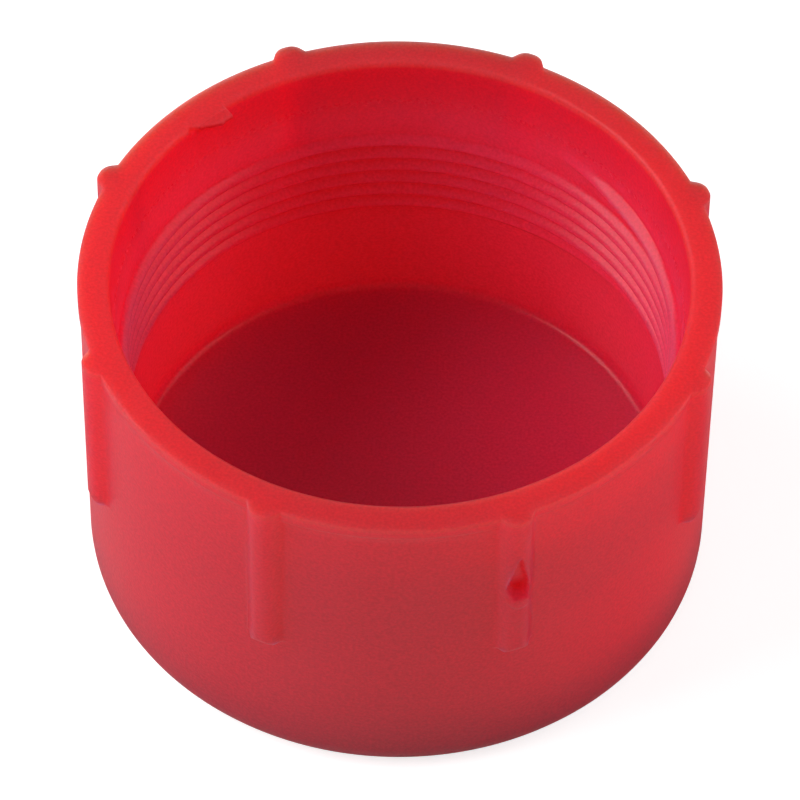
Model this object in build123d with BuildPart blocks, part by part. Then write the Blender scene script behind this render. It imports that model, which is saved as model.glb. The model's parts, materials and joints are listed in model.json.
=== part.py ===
from build123d import *
from math import cos, hypot, radians, sin, tan
import os

# A threaded protection cap, moulded in one piece: a straight-walled cup with grip ribs round its
# open half, a thread inside the mouth and a plain well below it. Millimetres, +Z up. The origin is
# the centre of the closed base's underside, and the mouth looks up.

# Male thread that the cap protects: metric fine, M45 x 1.5
thread_diameter = 45.0
thread_pitch = 1.5
thread_length = 10.7
lead_in_clearance = 0.1

# Cavity, from the mouth down
lead_in_flare = 0.35
lead_in_depth = 5.8
mouth_chamfer = 0.35
relief_depth = 0.56
well_depth = 10.15
floor_corner_radius = 0.9

# Walls
rim_width = 2.55
floor_thickness = 4.75
base_edge_radius = 2.7

# Bead round the rim's outer edge, where the mould halves part
bead_height = 1.0
bead_proud = 0.15
rim_chamfer = 0.12

# Grip ribs, broad and rounded
rib_count = 8
rib_azimuth = 22.5
rib_length = 16.5
rib_proud = 1.1
rib_crest_width = 1.5
rib_flank_angle = 34.0
rib_crest_radius = 1.1
rib_foot_radius = 0.6
rib_runout_radius = 0.8
rib_root = 1.0

# Scar of the tunnel gate on one rib: a drop-shaped hollow with a raised lip under it
gate_rib = 6
gate_depth = 8.2
gate_radius = 1.05
gate_tip_radius = 0.25
gate_tip_rise = 3.4
gate_hollow_depth = 0.6
gate_lip_proud = 0.25
gate_lip_drop = 1.5
gate_lip_chamfer = 0.15

# Torn tag of flash left on the rim's inner edge
flash_azimuth = 130.0
flash_span = 9.5
flash_reach = 1.15
flash_tail = 0.35
flash_thickness = 0.5
flash_root = 0.8

# Sizes that follow
crest_truncation = 0.5413 * thread_pitch
thread_crest_radius = thread_diameter / 2 - crest_truncation
lead_in_radius = thread_diameter / 2 + lead_in_clearance
mouth_radius = lead_in_radius + lead_in_flare
well_radius = thread_crest_radius + relief_depth
rim_radius = mouth_radius + rim_width
wall_radius = rim_radius - bead_proud
cavity_depth = lead_in_depth + thread_length + well_depth
height = cavity_depth + floor_thickness
thread_top = height - lead_in_depth
thread_bottom = thread_top - thread_length
rib_tip_radius = wall_radius + rib_proud
lead_in_step = lead_in_radius - thread_crest_radius
rib_bottom = height - rib_length
gate_azimuth = rib_azimuth + gate_rib * 360 / rib_count


def on_circle(radius, azimuth):
    """A point at a radius and azimuth about the cap's axis."""
    return (radius * cos(radians(azimuth)), radius * sin(radians(azimuth)))


def is_outside_wall(vertex):
    """Whether a section's corner stands clear outside the cap's wall."""
    return hypot(vertex.X, vertex.Y) > wall_radius + rib_proud / 2


def is_on_wall(vertex):
    """Whether a section's corner lies on the cap's wall."""
    return abs(hypot(vertex.X, vertex.Y) - wall_radius) < 0.001


# Grip ribs: one section with rounded crests and hollow feet, cut back by a turned envelope that
# rounds their lower ends into the wall
with BuildPart() as grip_ribs:
    with BuildSketch(Plane.XY.offset(rib_bottom)) as rib_section:
        Circle(wall_radius)
        rib_depth = rib_root + rib_proud
        with PolarLocations(wall_radius - rib_root, rib_count, start_angle=rib_azimuth):
            Trapezoid(
                rib_crest_width + 2 * rib_depth * tan(radians(rib_flank_angle)),
                rib_depth,
                90 - rib_flank_angle,
                rotation=-90,
                align=(Align.CENTER, Align.MIN),
            )
        crests = rib_section.vertices().filter_by(is_outside_wall)
        fillet(crests, rib_crest_radius)
        feet = rib_section.vertices().filter_by(is_on_wall)
        fillet(feet, rib_foot_radius)
    extrude(amount=rib_length)
    with BuildSketch(Plane.XZ) as rib_envelope:
        with Locations((0, rib_bottom)):
            Rectangle(rib_tip_radius, rib_length, align=(Align.MIN, Align.MIN))
        outer_corners = rib_envelope.vertices().group_by(Axis.X)[-1].sort_by(Axis.Y)
        fillet(outer_corners[0], rib_runout_radius)
        outer_corners = rib_envelope.vertices().group_by(Axis.X)[-1].sort_by(Axis.Y)
        chamfer(outer_corners[-1], rim_chamfer)
    revolve(axis=Axis.Z, mode=Mode.INTERSECT)

# Scar of the gate: the lip stands on the rib's crest, and the hollow is cut through both
gate_plane = Plane(
    origin=(*on_circle(rib_tip_radius, gate_azimuth), height - gate_depth),
    x_dir=(*on_circle(1, gate_azimuth + 90), 0),
    z_dir=(*on_circle(1, gate_azimuth), 0),
)
with BuildPart() as gate_hollow:
    with BuildSketch(gate_plane.offset(gate_lip_proud)):
        Circle(gate_radius)
        with Locations((0, gate_tip_rise)):
            Circle(gate_tip_radius)
        make_hull()
    extrude(amount=-gate_lip_proud - gate_hollow_depth)
with BuildPart() as gate_lip:
    with BuildSketch(gate_plane.offset(-rib_proud)):
        with Locations((0, -gate_lip_drop)):
            Circle(gate_radius)
    extrude(amount=rib_proud + gate_lip_proud)
    lip_face = gate_lip.faces().sort_by(Axis(gate_plane.origin, gate_plane.z_dir))[-1]
    chamfer(lip_face.edges(), gate_lip_chamfer)

# Cup: the turned outside, then the ribs and the gate's lip, then the turned cavity
with BuildPart() as cap:
    with BuildSketch(Plane.XZ) as outside:
        with BuildLine():
            Polyline(
                (0, 0),
                (wall_radius, 0),
                (wall_radius, height - bead_height - bead_proud),
                (rim_radius, height - bead_height),
                (rim_radius, height),
                (0, height),
                close=True,
            )
        make_face()
        right_corners = outside.vertices().group_by(Axis.X)
        chamfer(right_corners[-1].sort_by(Axis.Y)[-1], rim_chamfer)
        fillet(outside.vertices().group_by(Axis.Y)[0].sort_by(Axis.X)[-1], base_edge_radius)
    revolve(axis=Axis.Z)
    add(grip_ribs.part)
    add(gate_lip.part)
    add(gate_hollow.part, mode=Mode.SUBTRACT)

    with BuildSketch(Plane.XZ) as cavity:
        with BuildLine():
            Polyline(
                (0, floor_thickness),
                (well_radius, floor_thickness),
                (well_radius, thread_bottom - relief_depth),
                (thread_crest_radius, thread_bottom),
                (thread_crest_radius, thread_top - lead_in_step),
                (lead_in_radius, thread_top),
                (mouth_radius, height),
                (0, height),
                close=True,
            )
        make_face()
        floor_corners = cavity.vertices().group_by(Axis.Y)[0].sort_by(Axis.X)
        fillet(floor_corners[-1], floor_corner_radius)
    revolve(axis=Axis.Z, mode=Mode.SUBTRACT)
    rim_face = cap.faces().sort_by(Axis.Z)[-1]
    chamfer(rim_face.inner_wires()[0].edges(), mouth_chamfer)

    # Torn flash, level with the rim face, widest at its right-hand end
    with BuildSketch(Plane.XY.offset(height - flash_thickness)):
        with BuildLine():
            Polyline(
                on_circle(mouth_radius + flash_root, flash_azimuth),
                on_circle(mouth_radius - flash_reach, flash_azimuth),
                on_circle(mouth_radius - flash_reach, flash_azimuth + flash_span * 0.35),
                on_circle(mouth_radius - flash_tail, flash_azimuth + flash_span * 0.75),
                on_circle(mouth_radius + flash_root, flash_azimuth + flash_span),
                close=True,
            )
        make_face()
    extrude(amount=flash_thickness)

os.makedirs("parts", exist_ok=True)
cap.part.label = "cap"
export_step(cap.part, "parts/cap.step")
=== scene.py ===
import json
import math

import bmesh
import bpy
import numpy as np
from mathutils import Matrix, Vector, noise


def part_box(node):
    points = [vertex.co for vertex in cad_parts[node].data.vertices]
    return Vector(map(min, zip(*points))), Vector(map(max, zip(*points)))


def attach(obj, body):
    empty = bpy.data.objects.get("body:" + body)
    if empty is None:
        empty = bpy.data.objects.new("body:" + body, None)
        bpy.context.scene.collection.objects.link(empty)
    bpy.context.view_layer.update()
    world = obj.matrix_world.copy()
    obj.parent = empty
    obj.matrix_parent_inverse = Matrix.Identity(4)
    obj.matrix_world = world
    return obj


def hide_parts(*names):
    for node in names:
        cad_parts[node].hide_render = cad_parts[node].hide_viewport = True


# A moulded red polyethylene thread cap: the CAD solid's form again as one fine mesh, with the
# helical thread, the gate's scar and the rim's torn flash on it. Lengths are in millimetres until
# a mesh is made, and azimuths in degrees from +X.

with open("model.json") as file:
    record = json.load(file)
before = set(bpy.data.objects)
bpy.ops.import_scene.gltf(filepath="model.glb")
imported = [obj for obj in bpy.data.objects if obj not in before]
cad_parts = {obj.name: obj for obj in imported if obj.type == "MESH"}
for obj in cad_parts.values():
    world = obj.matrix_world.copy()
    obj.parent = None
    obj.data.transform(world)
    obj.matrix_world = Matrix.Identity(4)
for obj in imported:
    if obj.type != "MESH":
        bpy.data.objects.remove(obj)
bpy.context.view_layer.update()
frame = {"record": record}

MM = 0.001
node_high = np.array(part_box("cap")[1]) / MM
thread_mount = next(m for m in frame["record"]["mounts"] if m["name"] == "thread")

# Outside
HEIGHT = node_high[2]
RIM_RADIUS = node_high[0]
BEAD_HEIGHT = 1.0
BEAD_PROUD = 0.15
BEAD_FADE = 0.4
RIM_EDGE = 0.13
WALL_RADIUS = RIM_RADIUS - BEAD_PROUD
BASE_EDGE = 2.7
COLUMNS_BETWEEN_RIBS = 31

# Grip ribs
RIB_COUNT = 8
RIB_AZIMUTH = 22.5
RIB_BOTTOM = HEIGHT - 16.5
RIB_PROUD = 1.1
RIB_HALF_CREST = 0.75
RIB_FLANK_ANGLE = 34.0
RIB_CREST_ROUND = 1.1
RIB_FOOT_ROUND = 0.6
# The foot's arc starts this many degrees before the flank, as arc() leaves out its first point
RIB_FOOT_LEAD = 12
RIB_RUNOUT = 0.8
RUNOUT_ROWS_BELOW = 0.3
RUNOUT_ROWS_ABOVE = 0.2

# Inside
RIM_WIDTH = 2.55
MOUTH_RADIUS = RIM_RADIUS - RIM_WIDTH
MOUTH_EDGE = 0.5
MOUTH_DEPTH = 0.6
# Rows on the rim's face, as parts of the way across it
RIM_ROWS = 0.3, 0.65
LEAD_IN_RADIUS = 22.6
LEAD_IN_ROWS = 5
THREAD_CREST = thread_mount["dims"]["r_mm"]
THREAD_ROOT = 22.45
THREAD_PITCH = 1.5
THREAD_MIDDLE = thread_mount["pos_m"][2] / MM
THREAD_HALF = thread_mount["dims"]["length_mm"] / 2
THREAD_TOP = THREAD_MIDDLE + THREAD_HALF + LEAD_IN_RADIUS - THREAD_CREST
THREAD_BOTTOM = THREAD_MIDDLE - THREAD_HALF
THREAD_START = 62.0
THREAD_FIRST = 24.2
# The first turn starts RUN_IN_RISE higher up. The other three are parts of a turn: the way in
# which it comes down, and the ways in which each end reaches its full height
RUN_IN_RISE = 1.4
RUN_IN_TURN = 0.2
RUN_IN_FADE = 0.07
RUN_OUT_FADE = 0.3
# The root turns into the lead-in or the well from this far inside the thread's end, over this
# height
ROOT_TOP_INSET, ROOT_TOP_RISE = 0.5, 0.6
ROOT_BOTTOM_INSET, ROOT_BOTTOM_FALL = 0.1, 0.5
# The helical rows further than this above or below the thread are squeezed by these factors. The
# lead-in ends LEAD_IN_GAP above the first limit, and the well starts WELL_GAP below the thread
ROWS_ABOVE_THREAD = 1.4
ROWS_BELOW_THREAD = 0.6
SQUEEZE_ABOVE = 0.1
SQUEEZE_BELOW = 0.25
LEAD_IN_GAP = 0.2
WELL_GAP = 1.1
# A turn's section from root to root: part of the pitch below its crest, and height from 0 to 1
THREAD_SECTION = (
    (-0.46, 0.0),
    (-0.42, 0.04),
    (-0.31, 0.35),
    (-0.19, 0.70),
    (-0.08, 0.96),
    (-0.02, 1.0),
    (0.02, 1.0),
    (0.08, 0.95),
    (0.27, 0.5),
    (0.43, 0.03),
)
WELL_RADIUS = 22.25
FLOOR = 4.75
FLOOR_CORNER = 0.9

# Gate scar, on one rib
GATE_AZIMUTH = RIB_AZIMUTH + 6 * 360 / RIB_COUNT
GATE_HEIGHT = HEIGHT - 8.2
GATE_RADIUS = 1.05
GATE_TIP_RADIUS = 0.25
GATE_TIP_RISE = 3.4
GATE_HOLLOW = 0.85
GATE_HOLLOW_SLOPE = 0.28
GATE_LIP_PROUD = 0.25
GATE_LIP_DROP = 1.5
GATE_LIP_SLOPE = 0.3
GATE_LIP_ROUND = 0.1
GATE_REACH = 3.0
GATE_ROWS_BELOW = 3.2
GATE_ROWS_ABOVE = 4.2

# Torn flash at the mouth's edge
FLASH_AZIMUTH = 130.0
FLASH_SPAN = 9.5
FLASH_THICKNESS = 0.5
FLASH_COLUMNS = 14
FLASH_COLUMN_LEAD = 0.12
FLASH_COLUMN_SHIFT = 0.02
FLASH_RAGGED = 0.12
FLASH_RAGGED_SCALE = 0.9
FLASH_RAGGED_PLACE = 3.1
# Part of the span, and how far in from the mouth
FLASH_OUTLINE = ((0, 1.15), (0.35, 1.15), (0.75, 0.35), (1, -MOUTH_EDGE))
# The tip's section: back from the tip, with depth below the rim or height above the underside
FLASH_TIP_UPPER = ((0.08, 0.01), (0, 0.1))
FLASH_TIP_LOWER = ((0, 0.15), (0.1, 0.02))
FLASH_ROOT_DROP = 0.05


# ---------------------------------------------------------------- small tools
def smooth(x):
    """0 below 0, 1 above 1, and an S-shaped ramp between them."""
    x = np.clip(x, 0, 1)
    return x * x * (3 - 2 * x)


def soft_min(a, b, radius):
    """The lower of two values, with their crossing rounded."""
    blend = np.maximum(radius - np.abs(a - b), 0)
    return np.minimum(a, b) - blend * blend / (4 * radius)


def soft_max(a, b, radius):
    """The higher of two values, with their crossing filled."""
    return -soft_min(-a, -b, radius)


def arc(centre, radius, start, end, count):
    """Points of a section's arc after its first, with angles in degrees from outwards."""
    angles = np.radians(np.linspace(start, end, count + 1)[1:])
    return [(centre[0] + radius * math.cos(a), centre[1] + radius * math.sin(a)) for a in angles]


def run(start, end, count):
    """Points of a section's straight run after its first."""
    ends = np.array(start), np.array(end)
    return [tuple(ends[0] + (ends[1] - ends[0]) * k / count) for k in range(1, count + 1)]


def from_azimuth(azimuth, centre):
    """How far round from a centre an azimuth lies, from -180 to 180 degrees."""
    return (azimuth - centre + 180) % 360 - 180


# ---------------------------------------------------------------- columns round the axis
def rib_outline():
    """Half of a rib's section, from its middle to its foot, as (across, height)."""
    slope = math.radians(RIB_FLANK_ANGLE)
    tangent = math.tan(math.radians(90 - RIB_FLANK_ANGLE) / 2)
    crest_end = RIB_HALF_CREST - RIB_CREST_ROUND * tangent
    foot_end = RIB_HALF_CREST + RIB_PROUD * math.tan(slope) + RIB_FOOT_ROUND * tangent
    crest_centre = crest_end, RIB_PROUD - RIB_CREST_ROUND
    foot_centre = foot_end, RIB_FOOT_ROUND
    points = [(0.0, RIB_PROUD), (crest_end, RIB_PROUD)]
    points += arc(crest_centre, RIB_CREST_ROUND, 90, RIB_FLANK_ANGLE, 6)
    foot_start = 180 + RIB_FLANK_ANGLE - RIB_FOOT_LEAD
    points += arc(foot_centre, RIB_FOOT_ROUND, foot_start, 270, 5)
    return points


def columns():
    """The azimuths of the mesh's columns, and the rib's height above the wall at each."""
    half = rib_outline()
    across = [-u for u, h in half[:0:-1]] + [u for u, h in half]
    rise = [h for u, h in half[:0:-1]] + [h for u, h in half]
    azimuths, heights = [], []
    for k in range(RIB_COUNT):
        middle = RIB_AZIMUTH + k * 360 / RIB_COUNT
        turns = [math.degrees(u / (WALL_RADIUS + h)) for u, h in zip(across, rise)]
        azimuths += [middle + t for t in turns]
        heights += rise
        start = middle + turns[-1]
        end = middle + 360 / RIB_COUNT + turns[0]
        between = list(np.linspace(start, end, COLUMNS_BETWEEN_RIBS + 2)[1:-1])
        between += [a for a in flash_columns() if start < a < end]
        between.sort()
        azimuths += between
        heights += [0.0] * len(between)
    return np.array(azimuths), np.array(heights)


def flash_columns():
    """More columns where the torn flash needs them, the first just before it."""
    inner = np.linspace(FLASH_AZIMUTH, FLASH_AZIMUTH + FLASH_SPAN, FLASH_COLUMNS)
    return [FLASH_AZIMUTH - FLASH_COLUMN_LEAD] + [a + FLASH_COLUMN_SHIFT for a in inner]


# The columns start at the thread's start, and TURNED is the part of a turn to each from there.
AZIMUTH, RIB_HEIGHT = columns()
FROM_START = (AZIMUTH - THREAD_START) % 360
ORDER = np.argsort(np.where(FROM_START > 0, FROM_START, 360))
AZIMUTH, RIB_HEIGHT = AZIMUTH[ORDER], RIB_HEIGHT[ORDER]
TURNED = ((THREAD_START - AZIMUTH) / 360) % 1


def ring(value):
    """One value for every column."""
    return np.full(AZIMUTH.shape, value)


def round_rows(points):
    """Radii and heights of round rows, one for each point of a section."""
    return [ring(radius) for radius, _ in points], [ring(height) for _, height in points]


# ---------------------------------------------------------------- rows, outside
def base_rows():
    """The flat base and its rounded edge."""
    rows = run((0, 0), (WALL_RADIUS - BASE_EDGE, 0), 7)
    return rows + arc((WALL_RADIUS - BASE_EDGE, BASE_EDGE), BASE_EDGE, -90, 0, 10)


def wall_heights():
    """Heights of the rows up the wall, closer together at the ribs' ends and at the gate."""
    # Each stop is a height and the number of rows up to it from the stop before.
    stops = (
        (BASE_EDGE, 0),
        (RIB_BOTTOM - RUNOUT_ROWS_BELOW, 6),
        (RIB_BOTTOM + RIB_RUNOUT + RUNOUT_ROWS_ABOVE, 9),
        (GATE_HEIGHT - GATE_ROWS_BELOW, 4),
        (GATE_HEIGHT + GATE_ROWS_ABOVE, 30),
        (HEIGHT - BEAD_HEIGHT - BEAD_FADE, 4),
    )
    heights = []
    for (start, _), (end, count) in zip(stops, stops[1:]):
        heights += list(np.linspace(start, end, count + 1)[1:])
    return heights


def rib_limit(height):
    """How far out a rib may stand at a height: its lower end rounds into the wall."""
    above = np.clip(height - RIB_BOTTOM, 0, RIB_RUNOUT)
    rounding = math.sqrt(RIB_RUNOUT**2 - (RIB_RUNOUT - above) ** 2)
    step = RIB_PROUD - RIB_RUNOUT
    return (step + rounding) if height > RIB_BOTTOM else 0.0


def gate_scar(radius, height):
    """The wall's radius at a height, with the gate's hollow and lip worked into it."""
    across = np.radians(from_azimuth(AZIMUTH, GATE_AZIMUTH)) * WALL_RADIUS
    along = height - GATE_HEIGHT
    part = np.clip(along / GATE_TIP_RISE, 0, 1)
    half_width = GATE_RADIUS + (GATE_TIP_RADIUS - GATE_RADIUS) * part
    inside = half_width - np.hypot(across, along - part * GATE_TIP_RISE)
    lip = GATE_RADIUS - np.hypot(across, along + GATE_LIP_DROP)
    lip_radius = WALL_RADIUS + (RIB_PROUD + GATE_LIP_PROUD) * smooth(lip / GATE_LIP_SLOPE)
    near = np.abs(across) < GATE_REACH
    with_lip = soft_max(radius, lip_radius, GATE_LIP_ROUND)
    radius = np.where(near & (lip > 0), with_lip, radius)
    depth = (GATE_HOLLOW + GATE_LIP_PROUD) * smooth(inside / GATE_HOLLOW_SLOPE)
    hollow = WALL_RADIUS + RIB_PROUD + GATE_LIP_PROUD - depth
    return np.where(near & (inside > 0), np.minimum(radius, hollow), radius)


def rim_edge():
    """The rim's outer radius at each column, over the wall and the ribs."""
    return np.maximum(RIM_RADIUS, WALL_RADIUS + RIB_HEIGHT)


def outside():
    """Radii and heights of every row from the base's middle to the rim's outer edge."""
    radii, heights = round_rows(base_rows())
    for height in wall_heights():
        rib = np.minimum(RIB_HEIGHT, rib_limit(height))
        radii.append(gate_scar(WALL_RADIUS + rib, height))
        heights.append(ring(height))
    bead_bottom = HEIGHT - BEAD_HEIGHT
    bead = run((WALL_RADIUS, bead_bottom - BEAD_FADE), (RIM_RADIUS, bead_bottom), 4)
    bead += run((RIM_RADIUS, bead_bottom), (RIM_RADIUS, HEIGHT - RIM_EDGE), 3)
    for radius, height in bead:
        radii.append(np.maximum(radius, WALL_RADIUS + RIB_HEIGHT))
        heights.append(ring(height))
    for inset, height in arc((-RIM_EDGE, HEIGHT - RIM_EDGE), RIM_EDGE, 0, 90, 3):
        radii.append(rim_edge() + inset)
        heights.append(ring(height))
    return radii, heights


# ---------------------------------------------------------------- rows, inside
def flash_reach():
    """How far the torn flash reaches in from the mouth at each column, and where it is."""
    part = from_azimuth(AZIMUTH, FLASH_AZIMUTH) / FLASH_SPAN
    reach = np.interp(part, *zip(*FLASH_OUTLINE))
    places = [Vector((a * FLASH_RAGGED_SCALE, FLASH_RAGGED_PLACE, 0.0)) for a in AZIMUTH]
    ragged = np.array([noise.noise(place) for place in places])
    present = (part >= 0) & (part <= 1)
    return np.where(present, reach + FLASH_RAGGED * ragged, 0), present


def mouth():
    """The rim's face and the mouth's rounded edge, with the torn flash."""
    outer, inner = rim_edge() - RIM_EDGE, MOUTH_RADIUS + MOUTH_EDGE
    plain = [(inner, HEIGHT)]
    plain += arc((inner, HEIGHT - MOUTH_EDGE), MOUTH_EDGE, 90, 180, 5)
    reach, present = flash_reach()
    tip = MOUTH_RADIUS - reach
    under = HEIGHT - FLASH_THICKNESS
    torn = [(tip + RIM_ROWS[0] * (inner - tip), HEIGHT)]
    torn += [(tip + back, HEIGHT - depth) for back, depth in FLASH_TIP_UPPER]
    torn += [(tip + back, under + rise) for back, rise in FLASH_TIP_LOWER]
    torn += [(ring(MOUTH_RADIUS), under - FLASH_ROOT_DROP)]
    radii, heights = [], []
    for part in RIM_ROWS:
        radii.append(outer + (inner - outer) * part)
        heights.append(ring(HEIGHT))
    for (plain_radius, plain_height), (torn_radius, torn_height) in zip(plain, torn):
        radii.append(np.where(present, torn_radius, plain_radius))
        heights.append(np.where(present, torn_height, plain_height))
    return radii, heights


def bore_radius(height):
    """The bore's radius at a height where no thread stands: lead-in, thread root, then well."""
    above = smooth((height - THREAD_TOP + ROOT_TOP_INSET) / ROOT_TOP_RISE)
    below = smooth((THREAD_BOTTOM + ROOT_BOTTOM_INSET - height) / ROOT_BOTTOM_FALL)
    flare = (MOUTH_RADIUS - LEAD_IN_RADIUS) / (HEIGHT - MOUTH_DEPTH - THREAD_TOP)
    lead_in = LEAD_IN_RADIUS + flare * np.maximum(height - THREAD_TOP, 0)
    return THREAD_ROOT + (lead_in - THREAD_ROOT) * above + (WELL_RADIUS - THREAD_ROOT) * below


def thread_rows():
    """Rows that follow the thread's turns down, each as radii and heights."""
    last = (THREAD_FIRST - THREAD_BOTTOM) / THREAD_PITCH
    radii, heights = [], []
    for whole in range(math.ceil(last)):
        turns = whole + TURNED
        run_in = RUN_IN_RISE * smooth(1 - turns / RUN_IN_TURN)
        crest = THREAD_FIRST - THREAD_PITCH * turns + run_in
        present = smooth(turns / RUN_IN_FADE) * smooth((last - turns) / RUN_OUT_FADE)
        for part, rise in THREAD_SECTION:
            height = crest - THREAD_PITCH * part
            plain = bore_radius(height)
            radii.append(plain - (plain - THREAD_CREST) * rise * present)
            heights.append(height)
    return radii, heights


def inside():
    """Radii and heights of every row from the mouth down to the middle of the floor."""
    top, bottom = THREAD_TOP + ROWS_ABOVE_THREAD, THREAD_BOTTOM - ROWS_BELOW_THREAD
    start = top + LEAD_IN_GAP
    lead_in_end = float(bore_radius(start)), start
    lead_in = run((MOUTH_RADIUS, HEIGHT - MOUTH_DEPTH), lead_in_end, LEAD_IN_ROWS)
    radii, heights = round_rows(lead_in)
    turn_radii, turn_heights = thread_rows()
    radii += turn_radii
    for height in turn_heights:
        height = np.where(height > top, top + (height - top) * SQUEEZE_ABOVE, height)
        low = bottom - (bottom - height) * SQUEEZE_BELOW
        heights.append(np.where(height < bottom, low, height))
    corner_radius, corner_height = WELL_RADIUS - FLOOR_CORNER, FLOOR + FLOOR_CORNER
    well = run((WELL_RADIUS, THREAD_BOTTOM - WELL_GAP), (WELL_RADIUS, corner_height), 6)
    well += arc((corner_radius, corner_height), FLOOR_CORNER, 0, -90, 8)
    well += run((corner_radius, FLOOR), (0, FLOOR), 8)[:-1]
    well_radii, well_heights = round_rows(well)
    return radii + well_radii, heights + well_heights


# ---------------------------------------------------------------- the cap's mesh
def seam_faces(index, heights, start, end):
    """Triangles that join the last column to the first where the thread's rows have moved on."""
    left, right = index[:, -1].tolist(), index[:, 0].tolist()
    faces, i, j = [], start, start
    while i < end or j < end:
        if j == end or (i < end and heights[i + 1, -1] >= heights[j + 1, 0]):
            faces.append((left[i], right[j], left[i + 1]))
            i += 1
        else:
            faces.append((left[i], right[j], right[j + 1]))
            j += 1
    return faces


def closed_mesh(name, radii, heights, bottom, top, helical):
    """One closed skin from rows of radii and heights, with a point at each end.

    Bottom and top are those points' heights, and helical gives the first and last of the rows
    that come one thread turn lower after each time round.
    """
    radii, heights = np.array(radii), np.array(heights)
    turns = np.radians(AZIMUTH)
    points = np.stack([radii * np.cos(turns), radii * np.sin(turns), heights], -1) * MM
    row_count, column_count = radii.shape
    vertices = np.concatenate([points.reshape(-1, 3), [(0, 0, bottom * MM), (0, 0, top * MM)]])
    index = np.arange(row_count * column_count).reshape(row_count, column_count)
    following = np.roll(index, -1, axis=1)
    quads = np.stack([index[:-1], following[:-1], following[1:], index[1:]], -1)
    plain = np.ones(quads.shape[:2], bool)
    plain[helical[0] : helical[1], -1] = False
    first, last = len(vertices) - 2, len(vertices) - 1
    faces = [tuple(q) for q in quads[plain].tolist()]
    faces += seam_faces(index, heights, *helical)
    faces += [(first, b, a) for a, b in zip(index[0].tolist(), following[0].tolist())]
    faces += [(last, a, b) for a, b in zip(index[-1].tolist(), following[-1].tolist())]
    mesh = bpy.data.meshes.new(name)
    mesh.from_pydata(vertices.tolist(), [], faces)
    shell = bmesh.new()
    shell.from_mesh(mesh)
    bmesh.ops.recalc_face_normals(shell, faces=shell.faces)
    shell.to_mesh(mesh)
    shell.free()
    mesh.shade_smooth()
    piece = bpy.data.objects.new(name, mesh)
    bpy.context.scene.collection.objects.link(piece)
    return piece


def make_cap():
    """The whole cap, outside and inside, as one closed piece."""
    radii, heights = outside()
    mouth_radii, mouth_heights = mouth()
    inside_radii, inside_heights = inside()
    before_thread = len(radii) + len(mouth_radii) + LEAD_IN_ROWS - 1
    radii += mouth_radii + inside_radii
    heights += mouth_heights + inside_heights
    helical = before_thread, before_thread + len(thread_rows()[0]) + 1
    return closed_mesh("cap_shell", radii, heights, 0, FLOOR, helical)


# ---------------------------------------------------------------- materials
WHITE = (1, 1, 1, 1)
FLOOR_GREY = (0.55, 0.55, 0.55, 1)
FLOOR_GLOW = 0.75
# Radii between which the bore's finish and its painted haze colour give way to the outer skin's
SKIN_START, SKIN_END = 22.6, 23.0
# The rim's finish (the skin's spread, and its painted sheen colour) fades between these depths,
# and the flash's starts over this width
RIM_SPREAD_AND_SHEEN_FADE, RIM_SPREAD_AND_SHEEN_END = 0.4, 0.6
FLASH_FINISH_WIDTH = 0.2
# How far red, green and blue light spread in the plastic, as shares of SPREAD_SCALE in metres
SPREAD_SCALE = 0.030
BORE_SPREAD = (1.0, 0.30, 0.27)
SKIN_SPREAD = (1.0, 0.18, 0.12)
FLASH_SPREAD = (0.10, 0.05, 0.05)
# The speckle's noise, and the two colours that it runs between on each part
SPECKLE_SCALE = 4200
SPECKLE_RANGE = 0.3, 0.7
# Painted haze: the bore's colours are lighter and paler than the skin's, raised in green and
# blue, as a painted pale veil of light over the shaded bore
BORE_REDS_PAINTED_HAZE = (0.79, 0.0240, 0.067, 1), (0.93, 0.0320, 0.087, 1)
SKIN_REDS = (0.71, 0.0105, 0.034, 1), (0.85, 0.0160, 0.046, 1)
# Painted sheen: the rim's colours are more orange than the skin's, standing in for the sheen of
# the light on its top face
RIM_REDS_PAINTED_SHEEN = (0.68, 0.0260, 0.036, 1), (0.82, 0.0340, 0.046, 1)
# The grain's noise, its relief in metres, and the roughness that it runs between on each part
GRAIN_SCALE = 3200
GRAIN_RELIEF = 0.00008
GRAIN_STRENGTH = 0.3
BORE_ROUGHNESS = 0.20, 0.26
SKIN_ROUGHNESS = 0.36, 0.44
POLYETHYLENE_IOR = 1.51


def new_material(name):
    """An empty node material, with its node tree and output."""
    material = bpy.data.materials.new(name)
    material.use_nodes = True
    tree = material.node_tree
    tree.nodes.clear()
    return material, tree, tree.nodes.new("ShaderNodeOutputMaterial")


def mixed(tree, kind, factor, first, second):
    """The output of a mix of two values, each a constant or another node's output."""
    mix = tree.nodes.new("ShaderNodeMix")
    mix.data_type = kind
    ending = {"FLOAT": "Float", "VECTOR": "Vector", "RGBA": "Color"}[kind]
    inputs = {socket.identifier: socket for socket in mix.inputs}
    outputs = {socket.identifier: socket for socket in mix.outputs}
    tree.links.new(factor, inputs["Factor_Float"])
    for letter, value in (("A", first), ("B", second)):
        socket = inputs[f"{letter}_{ending}"]
        if isinstance(value, bpy.types.NodeSocket):
            tree.links.new(value, socket)
        else:
            socket.default_value = value
    return outputs[f"Result_{ending}"]


def ramp(tree, value, start, end, low=0.0, high=1.0):
    """The output of a ramp from low at one value to high at another."""
    node = tree.nodes.new("ShaderNodeMapRange")
    node.inputs["From Min"].default_value = start
    node.inputs["From Max"].default_value = end
    node.inputs["To Min"].default_value = low
    node.inputs["To Max"].default_value = high
    tree.links.new(value, node.inputs["Value"])
    return node.outputs["Result"]


def fine_noise(tree, place, scale, detail):
    """The output of a noise that is fixed to the cap."""
    node = tree.nodes.new("ShaderNodeTexNoise")
    node.inputs["Scale"].default_value = scale
    node.inputs["Detail"].default_value = detail
    tree.links.new(place, node.inputs["Vector"])
    return node.outputs["Fac"]


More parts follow.
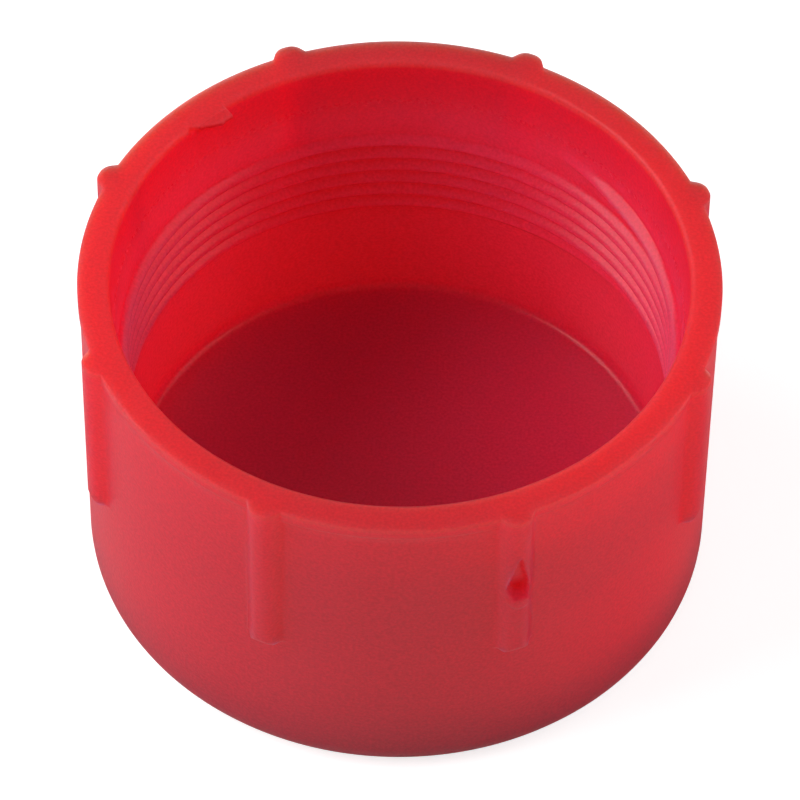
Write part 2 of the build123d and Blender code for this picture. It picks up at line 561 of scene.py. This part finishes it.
def cap_zones(tree, place):
    """Where the outer skin, the rim's face and the torn flash are, each from 0 to 1."""
    nodes, links = tree.nodes, tree.links
    flat = nodes.new("ShaderNodeVectorMath")
    flat.operation = "MULTIPLY"
    flat.inputs[1].default_value = (1, 1, 0)
    reach = nodes.new("ShaderNodeVectorMath")
    reach.operation = "LENGTH"
    axes = nodes.new("ShaderNodeSeparateXYZ")
    links.new(place, flat.inputs[0])
    links.new(flat.outputs["Vector"], reach.inputs[0])
    links.new(place, axes.inputs["Vector"])
    radius, height = reach.outputs["Value"], axes.outputs["Z"]
    outer = ramp(tree, radius, SKIN_START * MM, SKIN_END * MM)
    rim_bottom, rim_top = HEIGHT - RIM_SPREAD_AND_SHEEN_END, HEIGHT - RIM_SPREAD_AND_SHEEN_FADE
    rim = ramp(tree, height, rim_bottom * MM, rim_top * MM)
    flash_edge = MOUTH_RADIUS - FLASH_FINISH_WIDTH
    within_mouth = ramp(tree, radius, MOUTH_RADIUS * MM, flash_edge * MM)
    flash = nodes.new("ShaderNodeMath")
    flash.operation = "MULTIPLY"
    links.new(rim, flash.inputs[0])
    links.new(within_mouth, flash.inputs[1])
    return outer, rim, flash.outputs["Value"]


def red_polyethylene():
    """Red polyethylene that light passes into: a polished bore, a grained skin and thin flash,
    with painted haze in the bore's colour and painted sheen in the rim's.
    """
    material, tree, output = new_material("red_polyethylene")
    nodes, links = tree.nodes, tree.links
    shader = nodes.new("ShaderNodeBsdfPrincipled")
    shader.inputs["Subsurface Weight"].default_value = 1.0
    shader.inputs["Subsurface Scale"].default_value = SPREAD_SCALE
    shader.inputs["IOR"].default_value = POLYETHYLENE_IOR
    place = nodes.new("ShaderNodeTexCoord").outputs["Object"]
    outer, rim, flash = cap_zones(tree, place)

    depth = mixed(tree, "VECTOR", outer, BORE_SPREAD, SKIN_SPREAD)
    depth = mixed(tree, "VECTOR", rim, depth, SKIN_SPREAD)
    depth = mixed(tree, "VECTOR", flash, depth, FLASH_SPREAD)
    links.new(depth, shader.inputs["Subsurface Radius"])

    speckle = ramp(tree, fine_noise(tree, place, SPECKLE_SCALE, 2), *SPECKLE_RANGE)
    # Painted haze: the bore's red is a lighter, paler copy of the skin's red
    bore_red_painted_haze = mixed(tree, "RGBA", speckle, *BORE_REDS_PAINTED_HAZE)
    skin_red = mixed(tree, "RGBA", speckle, *SKIN_REDS)
    # Painted sheen: the rim's red is an orange copy of the skin's red
    rim_red_painted_sheen = mixed(tree, "RGBA", speckle, *RIM_REDS_PAINTED_SHEEN)
    red = mixed(tree, "RGBA", outer, bore_red_painted_haze, skin_red)
    red = mixed(tree, "RGBA", rim, red, rim_red_painted_sheen)
    links.new(red, shader.inputs["Base Color"])

    grain = fine_noise(tree, place, GRAIN_SCALE, 3)
    polished = ramp(tree, grain, 0.0, 1.0, *BORE_ROUGHNESS)
    grained = ramp(tree, grain, 0.0, 1.0, *SKIN_ROUGHNESS)
    links.new(mixed(tree, "FLOAT", outer, polished, grained), shader.inputs["Roughness"])

    relief = nodes.new("ShaderNodeBump")
    relief.inputs["Strength"].default_value = GRAIN_STRENGTH
    relief.inputs["Distance"].default_value = GRAIN_RELIEF
    links.new(grain, relief.inputs["Height"])
    links.new(relief.outputs["Normal"], shader.inputs["Normal"])
    links.new(shader.outputs["BSDF"], output.inputs["Surface"])
    return material


def white_floor():
    """A pale floor that shows white, with the cap's shadow on it."""
    material, tree, output = new_material("white_floor")
    nodes, links = tree.nodes, tree.links
    card = nodes.new("ShaderNodeBsdfDiffuse")
    card.inputs["Color"].default_value = FLOOR_GREY
    glow = nodes.new("ShaderNodeEmission")
    glow.inputs["Color"].default_value = WHITE
    glow.inputs["Strength"].default_value = FLOOR_GLOW
    lit = nodes.new("ShaderNodeAddShader")
    path = nodes.new("ShaderNodeLightPath")
    shown = nodes.new("ShaderNodeMixShader")
    links.new(card.outputs["BSDF"], lit.inputs[0])
    links.new(glow.outputs["Emission"], lit.inputs[1])
    links.new(path.outputs["Is Camera Ray"], shown.inputs["Fac"])
    links.new(card.outputs["BSDF"], shown.inputs[1])
    links.new(lit.outputs["Shader"], shown.inputs[2])
    links.new(shown.outputs["Shader"], output.inputs["Surface"])
    return material


# ---------------------------------------------------------------- stage, light and camera
ROOM_STRENGTH = 0.05
# In metres
STAGE_SIZE = 4
STAGE_GAP = 0.00005
LAMP_DISTANCE = 0.5
# Name, azimuth, elevation, size in metres, power in watts, and whether its reflection shows,
# which it does for the two that the photo shows in the bore and not for the fills
LAMPS = (
    ("lamp_left", 167, 44, 0.30, 0.52, True),
    ("lamp_right", 13, 44, 0.30, 0.16, True),
    ("fill_high_left", 167, 44, 0.30, 0.62, False),
    ("fill_high_right", 13, 44, 0.30, 0.22, False),
    ("fill_left", 196, 35, 0.30, 1.65, False),
    ("fill_right", 0, 35, 0.30, 0.68, False),
    ("fill_low_right", 0, 14, 0.25, 0.42, False),
    ("fill_above", 270, 62, 0.30, 0.22, False),
    ("fill_back", 90, 14, 0.25, 0.26, False),
)
# The camera's turn from straight in front, its rise and its roll in degrees, and its distance
# and aim in millimetres
CAMERA_TURN = 1.045
CAMERA_RISE = 50.483
CAMERA_ROLL = 0.860
CAMERA_LENS = 256.86
CAMERA_DISTANCE = 462.7
AIM_BELOW_RIM = 15.32
AIM_SIDEWAYS = 0.147


def make_floor():
    """The pale floor that the cap stands on, a hair below its base."""
    bpy.ops.mesh.primitive_plane_add(size=STAGE_SIZE, location=(0, 0, -STAGE_GAP))
    floor = bpy.context.object
    floor.name = "floor"
    floor.data.materials.append(white_floor())


def direction(azimuth, elevation):
    """The unit vector towards an azimuth and an elevation, both in radians."""
    level = math.cos(elevation)
    return Vector((math.cos(azimuth) * level, math.sin(azimuth) * level, math.sin(elevation)))


def soft_lamp(name, azimuth, elevation, size, power, mirrored):
    """A square soft lamp that faces the cap from LAMP_DISTANCE away."""
    lamp = bpy.data.lights.new(name, "AREA")
    lamp.shape = "SQUARE"
    lamp.size = size
    lamp.energy = power
    holder = bpy.data.objects.new(name, lamp)
    towards = direction(math.radians(azimuth), math.radians(elevation))
    middle = Vector((0, 0, HEIGHT * MM / 2))
    holder.location = middle + towards * LAMP_DISTANCE
    holder.rotation_euler = (-towards).to_track_quat("-Z", "Y").to_euler()
    holder.visible_camera = False
    holder.visible_glossy = mirrored
    bpy.context.scene.collection.objects.link(holder)


def make_light():
    """The lamps, and a room that looks white but gives little light."""
    for lamp in LAMPS:
        soft_lamp(*lamp)
    world = bpy.data.worlds.new("room")
    bpy.context.scene.world = world
    world.use_nodes = True
    tree = world.node_tree
    tree.nodes.clear()
    output = tree.nodes.new("ShaderNodeOutputWorld")
    seen = tree.nodes.new("ShaderNodeBackground")
    seen.inputs["Color"].default_value = WHITE
    seen.inputs["Strength"].default_value = 1.0
    room = tree.nodes.new("ShaderNodeBackground")
    room.inputs["Color"].default_value = WHITE
    room.inputs["Strength"].default_value = ROOM_STRENGTH
    path = tree.nodes.new("ShaderNodeLightPath")
    choice = tree.nodes.new("ShaderNodeMixShader")
    tree.links.new(path.outputs["Is Camera Ray"], choice.inputs["Fac"])
    tree.links.new(room.outputs["Background"], choice.inputs[1])
    tree.links.new(seen.outputs["Background"], choice.inputs[2])
    tree.links.new(choice.outputs["Shader"], output.inputs["Surface"])


def make_camera():
    """A long lens from the front, looking down into the mouth."""
    turn, rise, roll = (math.radians(a) for a in (CAMERA_TURN, CAMERA_RISE, CAMERA_ROLL))
    back = direction(turn - math.pi / 2, rise)
    sideways = Vector((math.cos(turn), math.sin(turn), 0)) * AIM_SIDEWAYS
    aim = Vector((0, 0, HEIGHT - AIM_BELOW_RIM)) + sideways
    data = bpy.data.cameras.new("camera")
    data.sensor_width = 36
    data.lens = CAMERA_LENS
    data.clip_start = 0.01
    data.clip_end = 20
    camera = bpy.data.objects.new("camera", data)
    turned = (-back).to_track_quat("-Z", "Y").to_matrix().to_4x4()
    place = Matrix.Translation((aim + back * CAMERA_DISTANCE) * MM)
    camera.matrix_world = place @ turned @ Matrix.Rotation(roll, 4, "Z")
    bpy.context.scene.collection.objects.link(camera)
    bpy.context.scene.camera = camera


cap = make_cap()
cap.data.materials.append(red_polyethylene())
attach(cap, "root")
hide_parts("cap")

make_floor()
make_light()
make_camera()
bpy.context.scene.view_settings.view_transform = "Standard"
